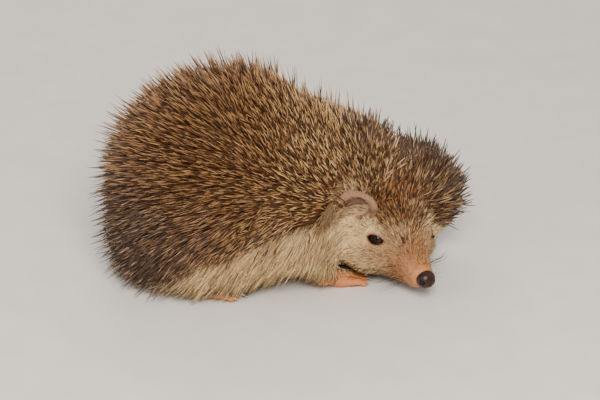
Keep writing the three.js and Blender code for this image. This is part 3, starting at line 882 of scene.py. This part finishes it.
def spine_colours(rng, roots, edge, crown, low_rear):
    """Each spine's pale ends, its dark band, and how far the band is moved to the tip."""
    count, x = len(roots), roots[:, 0]
    pick = rng.random(count)
    shoulder = fall(np.abs(x - SHOULDER_PLACE), 10, 45) * ramp(edge, 2, 14)
    hairline = crown * fall(edge, 2, 12)
    far = ramp(x, 58, 80)
    light = paint(
        PALE,
        (PALE_WARM, rng.random(count) ** 1.3),
        (SHOULDER_PALE, 0.75 * shoulder * rng.random(count)),
        (RUSTY, 0.7 * (pick < 0.16)),
        (HAIRLINE_PALE, 0.75 * hairline * (pick < 0.6)),
        (CROWN_PALE, (0.62 - 0.25 * far) * crown * ramp(edge, 6, 16) * (pick > 0.5)),
    )
    # Crown spines are a little darker; towards the hood's front they are painted much darker, which is
    # painted shade.
    light = light * (1 - (0.12 * crown + 0.43 * far) * (pick < 0.65))[:, None]
    # Spines on the hood's left side, away from the light, are painted darker: painted shade.
    light = light * (1 - 0.25 * crown * ramp(to_head(roots)[:, 1], 6, 20))[:, None]
    golden = fall(edge, 5, 16) * ramp(x, -45, -25) * (1 - crown)
    dull = fall(x, -35, 10) * (1 - golden) * (1 - low_rear)
    light = paint(
        light,
        (GOLDEN, 0.6 * golden * rng.random(count)),
        (REAR_DARK, low_rear * (pick < 0.63)),
        (REAR_PALE, low_rear * (pick > 0.8)),
        (PALE_DULL, 0.32 * dull),
    )
    warm = rng.random(count) * (1 - 0.7 * low_rear) * (1 - 0.6 * far)
    dark = paint(BAND, (BAND_WARM, warm), (BAND_DULL, 0.4 * dull))
    shift = 0.06 * rng.normal(size=count) + 0.27 * crown * ramp(edge, 4, 14) + 0.08 * low_rear
    return light, dark, shift


def make_spines(body_mesh):
    rng = np.random.default_rng(SEED)
    verts = body_mesh[0]
    edge = mantle(verts)
    clear = ramp(near_ear(verts), 0.2, 0.9) * fall(body(verts), 3, 4) * ramp(near_eye(verts), 6, 8)
    clear *= 1 - ear_front(verts)
    roots, normals = spread(rng, body_mesh, SPINE_CELLS * ramp(edge, -0.5, 1.0) * clear)
    edge = mantle(roots)
    crown = ramp(roots[:, 0], *CROWN_START)
    by_ear = fall(near_ear(roots), 6, 26)
    gap = SPINE_GAP - 0.12 * crown - lerp(0.32, 0.16, crown) * by_ear
    gap -= 0.16 * fall(edge, 2, 12) * (1 - crown) * (1 - by_ear)
    kept = thin_out(rng, roots, gap)
    roots, normals, edge, crown = (values[kept] for values in (roots, normals, edge, crown))
    count, (x, _, z) = len(roots), roots.T
    rise = ramp(edge, 0, 14)
    rear = fall(x, -75, -20)
    low_rear = rear * fall(z, 40, 95)
    upper_back = fall(x, -25, 5) * ramp(z, 70, 95)
    stray = rng.random(count) < 0.06 + 0.15 * upper_back + 0.05 * rear
    length = lerp(lerp(lerp(FLANK_LENGTH, REAR_LENGTH, rear), HAIRLINE_LENGTH, crown),
                  lerp(BACK_LENGTH, CROWN_LENGTH, crown), rise)
    uneven = 1 + 0.1 * rng.normal(size=count).clip(-2, 2)
    length *= uneven - 0.3 * upper_back * rng.random(count) + 0.32 * stray
    swept = lerp(SWEPT, lerp(SWEPT, CROWN_SWEPT, crown), rise) + 7 * low_rear + 6 * rng.normal(size=count)
    ways, lean = spine_way(roots, normals, np.radians(swept - (24 + 16 * rng.random(count)) * stray), rng)
    radius = lerp(lerp(0.32, 0.27, crown), 0.35 + 0.04 * crown, rise)
    radius *= (1 + 0.12 * rng.normal(size=count).clip(-2, 2)) * (1 - 0.2 * low_rear)
    reach = length[:, None] * (np.cos(lean)[:, None] * normals + np.sin(lean)[:, None] * ways)
    free = np.minimum.reduce([near_ear(roots + share * reach) for share in (0.3, 0.6, 1)]) > EAR_CLEARANCE
    light, dark, shift = spine_colours(rng, roots, edge, crown, low_rear)
    head, behind, high = x > HEAD_SPINES, x <= BACK_SPINES, z > RUMP_TOP
    groups = {
        "spines_head": head & free, "spines_shoulder": ~head & ~behind & free,
        "spines_back": behind & high, "spines_rump": behind & ~high,
    }
    hairs = (roots, normals, ways, length, radius, lean)
    tones = {"light": light, "dark": dark}
    pieces = [
        coat_piece(name, picked, hairs, -shift, tones, SPINE_PROFILE, SPINE_SHAPE)
        for name, picked in groups.items()
    ]
    m = Nodes("spines")
    fleck = m.grain(1500, 3)
    along = m.scaled(fleck, 0.08, m.scaled(m.read("along"), 1.0, -0.04))
    band = m.steps(along, (0.28, 0.0), (0.42, 1.0), (0.66, 1.0), (0.8, 0.0))
    shade = m.mix("MIX", band, m.read("light", "Color"), m.read("dark", "Color"))
    m.bump(fleck, 0.25, 0.15)
    m.finish(*pieces, Base_Color=m.darken(shade, 0.7, fleck, 0.7), Roughness=m.scaled(fleck, 0.2, 0.34))


# ---- Fur ----
FUR_PROFILE = [(0, 0.8), (0.35, 1.0), (0.72, 0.7), (1, 0)]
SHORT_PROFILE = [(0, 0.8), (0.5, 0.95), (1, 0)]
FUR_SHAPE = {"sides": 3, "sink": 0.25, "bend": (-0.35, 0.22), "lowest": 0.3}
FUR_HEAD_START, BACK_AND_DOWN = (24, 40), np.array([-1.0, 0, -0.95])
BODY_DENSITY, HEAD_DENSITY = 4.2, ([-30, -18, -6], [5.8, 6.6, 8.0])  # hairs to the square millimetre
HEAD_LENGTH = [-60, -45, -34, -26, -16, -6], [9, 8, 6.5, 4.2, 2.6, 1.0]  # back from the nose
HEAD_FUR, FLANK_FUR, MUZZLE_FUR = 46, 18, -24  # where one piece ends and the next begins
WHISKER_PLACE, WHISKER_REACH, WHISKER_SHARE = (-12, 0, -3), 4, 0.03
WHISKER_RADIUS, WHISKER_LENGTH, WHISKER_LEAN = 0.09, 15, np.radians(42)
MARK_PLACE = seat((-17, -4, 0), (0, 0, 1))[0]
EAR_FUZZ, EAR_HOLLOW, LEG_FUR, MARK = colours("a5836a cfae86 d39a68 3a2113")
BROWN_HAIR, DARK_AND_SHADED_HAIR, HAIR_BY_SPINES, WHISKER = colours("7d5834 33261b 744a2a 2a1a12")


def fur_way(roots, normals, rng):
    """Fur runs back from the nose over the head, and back and down along the body."""
    from_nose = unit(roots - from_head((2, 0, 1)))
    on_head = ramp(roots[:, 0], 18, 42)[:, None]
    way = BACK_AND_DOWN * (1 - on_head) + from_nose * on_head
    cheek = on_head * fall(to_head(roots)[:, :1], -36, -26)
    way = way + lerp(0.34, 0.18, cheek) * waves(roots, 4.5, 21, 22, 23)
    return tangent(way + lerp(0.12, 0.07, cheek) * rng.normal(size=roots.shape), normals)


def fur_lengths(rng, roots, ns, h, edge, on_head):
    """Shortest on the muzzle, feet and ears; longest on the flank's lower fringe."""
    head_length = lerp(np.interp(h[:, 0], *HEAD_LENGTH), 5.5, ramp(edge, -8, 0))
    length = lerp(lerp(11.5, 8, fall(ns[:, 2], -0.95, -0.5)), head_length, on_head)
    length = lerp(length, 8.5, ear_front(roots))
    length = lerp(length, 8, (1 - on_head) * fall(roots[:, 2], 4, 9))
    length = length * (1 + 0.4 * (rng.random(len(roots)) < 0.2) * (1 - on_head))
    short = np.maximum(fall(near_ear(roots), 0.6, 1.6), 0.75 * limb_share(roots))
    length = lerp(length, 1.2, short) * lerp(0.25, 1.0, ramp(near_slit(roots), 0.3, 5.5))
    length = lerp(length, 5, ear_inside(roots)[1])
    return length * (1 + 0.22 * rng.normal(size=len(roots)).clip(-2, 2))


def fur_colours(rng, roots, ns, h, edge, on_head):
    """The markings, broken up by paler and darker hairs, with painted shade in the ears' folds, under the jaw
    and along the belly's lower edge.
    """
    count = len(roots)
    pick, shade = rng.random(count), rng.random(count)
    muzzle = on_head * ramp(h[:, 0], *MUZZLE_START)
    ear = fuzz_share(roots)
    fold, hollow = ear_inside(roots)
    jaw = on_head * fall(ns[:, 2], -0.75, -0.1) * fall(h[:, 0], -20, -8) * ramp(h[:, 0], -48, -36)
    fringe = (1 - on_head) * fall(roots[:, 2], 11, 24)
    brow = brow_share(roots)
    brown = pick < 0.1 - 0.05 * on_head + 0.25 * muzzle + 0.35 * brow
    # More dark hairs under the jaw and along the belly's lower edge: partly dark-tipped hairs, partly painted
    # shade.
    dark_and_shaded = rng.random(count) < 0.02 + 0.42 * fringe + 0.45 * jaw + 0.12 * brow
    tone = paint(
        face_tone(roots),
        # Ear fuzz, painted darker in the fold under the rim: painted shade.
        (EAR_FUZZ * (1 - 0.5 * fold)[:, None], ear),
        (EAR_HOLLOW, 0.85 * hollow),
        (LEG_FUR, 0.6 * limb_share(roots) * (1 - ear)),
        (WHITE, (pick > 0.62) * (0.8 - 0.55 * muzzle) * (1 - ear)),
        (BROWN_HAIR, 0.7 * brown * (1 - ear)),
        (DARK_AND_SHADED_HAIR, 0.85 * dark_and_shaded),
        (HAIR_BY_SPINES, 0.8 * ramp(edge, 1.0, 4.5) * (1 - ear) * (1 - 0.6 * ear_front(roots))),
        (MARK, 0.9 * fall(distance(roots, MARK_PLACE), 1, 1.6)),
    )
    cheek = on_head * fall(h[:, 0], -34, -24) * ramp(h[:, 2], -8, -2) * (1 - brow)
    streak = 0.2 * noise(roots * (1, 1, 0.6), 4, 7) + 1.3 - 0.72 * shade
    calm = 1.15 - 0.28 * shade + muzzle * (0.1 - 0.3 * shade)
    tone = tone * (lerp(streak, calm, np.maximum(on_head, ear)) + 0.21 * cheek)[:, None]
    return tone / np.maximum(tone.max(-1, keepdims=True), 1)


def make_fur(body_mesh):
    rng = np.random.default_rng(SEED + 1)
    verts, _, normals = body_mesh
    edge = mantle(verts)
    h = to_head(verts)
    on_head = ramp(verts[:, 0], *FUR_HEAD_START)
    by_ear = fall(near_ear(verts), 2.5, 5.5)
    furry = np.maximum.reduce([fall(edge, 0.5, 4.5), by_ear, ear_front(verts)])
    limbs = limb_share(verts)
    feet = fall(verts[:, 2], 5, 9) * limbs
    bald = ramp(h[:, 0], -5, -2) * on_head
    shut = fall(near_slit(verts), 0.4, 1.2)
    under = fall(normals[:, 2], -0.95, -0.6) * (1 - on_head)
    density = lerp(BODY_DENSITY, np.interp(h[:, 0], *HEAD_DENSITY), on_head)
    density *= furry * (1 - 0.6 * limbs * (1 - ear_share(verts))) * (1 - 0.6 * under)
    density *= (1 - feet) * (1 - bald) * (1 - shut)
    roots, ns = spread(rng, body_mesh, density)
    h, edge = to_head(roots), mantle(roots)
    on_head = ramp(roots[:, 0], *FUR_HEAD_START)
    count = len(roots)
    length = fur_lengths(rng, roots, ns, h, edge, on_head)
    cheek = on_head * fall(h[:, 0], -36, -26)
    lean = lerp(67, 71, on_head) + 4 * cheek + lerp(7, 5, cheek) * rng.normal(size=count)
    lean = np.radians(lerp(lean, 60, fuzz_share(roots)))
    ways = fur_way(roots, ns, rng)
    radius = np.clip(0.07 + 0.015 * length, 0.09, 0.2)
    radius = radius * (0.6 + 0.65 * rng.random(count)) * (1 - 0.1 * on_head)
    tone = fur_colours(rng, roots, ns, h, edge, on_head)
    whisker = (np.abs(h - WHISKER_PLACE) * (1, 0, 1)).max(-1) < WHISKER_REACH
    whisker &= (np.abs(h[:, 1]) > 3.5) & (rng.random(count) < WHISKER_SHARE)
    length[whisker] = (WHISKER_LENGTH + 6 * rng.random(count))[whisker]
    radius[whisker], lean[whisker], tone[whisker] = WHISKER_RADIUS, WHISKER_LEAN, WHISKER
    head, muzzle = roots[:, 0] > HEAD_FUR, h[:, 0] > MUZZLE_FUR
    flank, right = roots[:, 0] <= FLANK_FUR, roots[:, 1] < 0
    hairs = (roots, ns, ways, length, radius, lean)
    pieces = []
    for profile, groups in (
        (SHORT_PROFILE, {"muzzle": head & muzzle, "face": head & ~muzzle, "cheek": ~head & ~flank}),
        (FUR_PROFILE, {"flank_right": flank & right, "flank_left": flank & ~right}),
    ):
        each = 2 * FUR_SHAPE["sides"] * (len(profile) - 1) - 2
        pieces += [
            coat_piece(f"fur_{name}", picked, hairs, 0.2 * cheek, {"tone": tone}, profile, FUR_SHAPE)
            for name, picked in portions(roots, groups, each)
        ]
    m = Nodes("fur")
    fleck = m.grain(1200, 2)
    # Each hair is painted darker towards its root: painted shade deep in the coat.
    shade = m.darken(m.read("tone", "Color"), 1.0, m.read("along"), 0.56, start=0.0, end=0.6)
    shade = m.darken(shade, 0.5, fleck, 0.75)
    m.bump(fleck, 0.2, 0.1)
    m.finish(*pieces, Base_Color=shade, Roughness=m.scaled(fleck, 0.15, 0.5))


# ---- Eyes, nose and claws ----
EYE_BULGE = 0.15
PUPIL, IRIS, IRIS_EDGE = colours("0c0604 3d1f12 241009")
NOSE_DARK, NOSE_PALE = colours("1d0d08 3b2018")
# Near black painted inside the nostrils: painted shade.
NOSTRIL_SHADE = (0.004, 0.002, 0.002, 1)
CLAW_RINGS, CLAW_SIDES, CLAW_RADIUS, CLAW_ARCH = 7, 8, 0.62, 0.9
CLAW_ROOT, CLAW_POINT = colours("a98a70 e0cfae")


def make_eyes():
    pieces = []
    radii = np.array([EYE_RADIUS + EYE_BULGE, EYE_RADIUS, EYE_RADIUS])
    for side, eye in EYES.items():
        turned = np.array([eye["look"], eye["slit"], eye["across"]]).T
        ball = lambda p: mass((p - eye["centre"]) @ turned, (0, 0, 0), radii)
        verts, faces = surface(ball, [ticks((c - 4.9, c + 4.9, 0.3)) for c in eye["centre"]])
        q = (verts - eye["centre"]) @ turned
        out = np.hypot(q[:, 1], q[:, 2]) / EYE_RADIUS
        pieces.append(make_piece(f"eye_{side}", verts, faces, [f"eye_{side}"], {"out": out}))
    m = Nodes("eye")
    grain = m.grain(1400, 3)
    shade = m.steps(m.read("out"), (0.42, PUPIL), (0.5, IRIS), (0.85, IRIS_EDGE))
    m.bump(grain, 0.03, 0.05)
    m.finish(*pieces, Base_Color=m.darken(shade, 0.5, grain, 0.6), Roughness=0.06, Specular_IOR_Level=0.22)


def nose_ball(p):
    return mass(to_head(p) * HEAD_SCALE, (0, 0, 0), NOSE_RADII)


def nose_shape(p):
    """The nose, with its nostrils and the groove between them."""
    h = to_head(p) * HEAD_SCALE
    d = soft_max(nose_ball(p), -np.minimum(*bars(one_side(h), *NOSTRIL)), 0.7)
    return soft_max(d, -bars(h, *GROOVE)[0], 0.6) + 0.07 * noise(p, 0.8, 31)


def make_nose():
    verts, faces = surface(nose_shape, [ticks((c - 7, c + 7, 0.27)) for c in NOSE_PLACE])
    # The nostrils' insides are painted near black: painted shade in the holes.
    hole = fall(nose_ball(verts), -1.1, -0.3)
    piece = make_piece("nose", verts, faces, ["nose"], {"hole": hole})
    m = Nodes("nose")
    pebble, broad = m.pebbles(1500), m.grain(300, 3)
    shade = m.mix("MIX", m.read("hole"), m.steps(broad, (0.3, NOSE_DARK), (0.7, NOSE_PALE)), NOSTRIL_SHADE)
    m.bump(pebble, 0.35, 0.25)
    m.finish(piece, Base_Color=shade, Roughness=m.scaled(pebble, 0.25, 0.22), Specular_IOR_Level=0.28)


def claw_faces():
    """Four-cornered faces round a claw and over its two ends."""
    side, last = np.arange(CLAW_SIDES), CLAW_RINGS - 1
    after = np.roll(side, -1)
    band = np.stack([side, after, after + CLAW_SIDES, side + CLAW_SIDES], -1)
    cap = [(0, i, i + 1, i + 2) for i in range(1, CLAW_SIDES - 2, 2)]
    bands = [band + ring * CLAW_SIDES for ring in range(last)]
    return np.concatenate(bands + [side[::-1][cap], side[cap] + last * CLAW_SIDES])


def make_claws():
    claws = []
    t = np.linspace(0, 1, CLAW_RINGS)
    turn = 2 * np.pi * np.arange(CLAW_SIDES) / CLAW_SIDES
    size = CLAW_RADIUS * (1 - t ** 1.6) + 0.05
    for spec in FEET:
        for _, _, pad, point in toe_lines(spec):
            root = pad + (0, 0, 0.6)
            line = lerp(root, point, t[:, None]) + np.outer(CLAW_ARCH * np.sin(np.pi * t), (0, 0, 1))
            ahead = unit(point - root)
            flank = unit(np.cross(ahead, (0, 0, 1)))
            ring = np.outer(np.cos(turn), flank) + np.outer(np.sin(turn), np.cross(flank, ahead))
            claws.append((line[:, None] + ring[None] * size[:, None, None]).reshape(-1, 3))
    verts = np.concatenate(claws)
    verts[:, 2] = np.maximum(verts[:, 2], 0.05)
    faces = np.concatenate([claw_faces() + k * len(claws[0]) for k in range(len(claws))])
    along = np.tile(np.repeat(t, CLAW_SIDES), len(claws))
    piece = make_piece("claws", verts, faces, [], {"along": along})
    m = Nodes("claws")
    grain = m.grain(1800, 3)
    shade = m.steps(m.read("along"), (0.0, CLAW_ROOT), (1.0, CLAW_POINT))
    m.bump(grain, 0.2, 0.1)
    m.finish(piece, Base_Color=m.darken(shade, 0.6, grain, 0.65), Roughness=0.38)


# ---- Floor, light and camera ----
VIEW_CENTRE = np.array([6.67, 0, 42.95])
VIEW_DISTANCE = 1450
VIEW_ELEVATION = np.radians(27)
VIEW_WIDTH = 333.3
SENSOR = 36
FLOOR_DARK, FLOOR_PALE = colours("d9d4cb dfdad2")


def make_stage():
    bpy.ops.mesh.primitive_plane_add(size=6)
    floor = bpy.context.object
    floor.name = "floor"
    m = Nodes("floor")
    grain = m.grain(40, 5)
    m.bump(grain, 0.05, 1.0)
    m.finish(floor, Base_Color=m.steps(grain, (0.3, FLOOR_DARK), (0.7, FLOOR_PALE)), Roughness=0.8)
    world = bpy.data.worlds.new("studio")
    bpy.context.scene.world = world
    world.use_nodes = True
    backdrop = world.node_tree.nodes["Background"].inputs
    backdrop["Color"].default_value = (0.97, 0.97, 1.0, 1)
    backdrop["Strength"].default_value = 0.55
    for name, place, size, watts in (
        ("key", (0.1, -0.9, 0.85), 0.45, 20),
        ("fill", (-0.9, -0.6, 0.5), 0.9, 4),
        ("back", (-0.2, 0.9, 0.8), 0.7, 5),
    ):
        light = bpy.data.lights.new(name, "AREA")
        light.energy, light.size, light.color = watts, size, (1, 0.95, 0.88)
        lamp = add_object(name, light)
        lamp.location = place
        aim(lamp)


def aim(thing):
    way = Vector(VIEW_CENTRE * MM) - thing.location
    thing.rotation_euler = way.to_track_quat("-Z", "Y").to_euler()


def make_camera():
    data = bpy.data.cameras.new("camera")
    data.sensor_width = SENSOR
    data.lens = SENSOR * VIEW_DISTANCE / VIEW_WIDTH
    data.clip_end = 20
    camera = add_object("camera", data)
    back = np.array([0, -np.cos(VIEW_ELEVATION), np.sin(VIEW_ELEVATION)])
    camera.location = (VIEW_CENTRE + VIEW_DISTANCE * back) * MM
    aim(camera)
    bpy.context.scene.camera = camera


body_mesh = make_skin()
make_spines(body_mesh)
make_fur(body_mesh)
make_eyes()
make_nose()
make_claws()
make_stage()
make_camera()
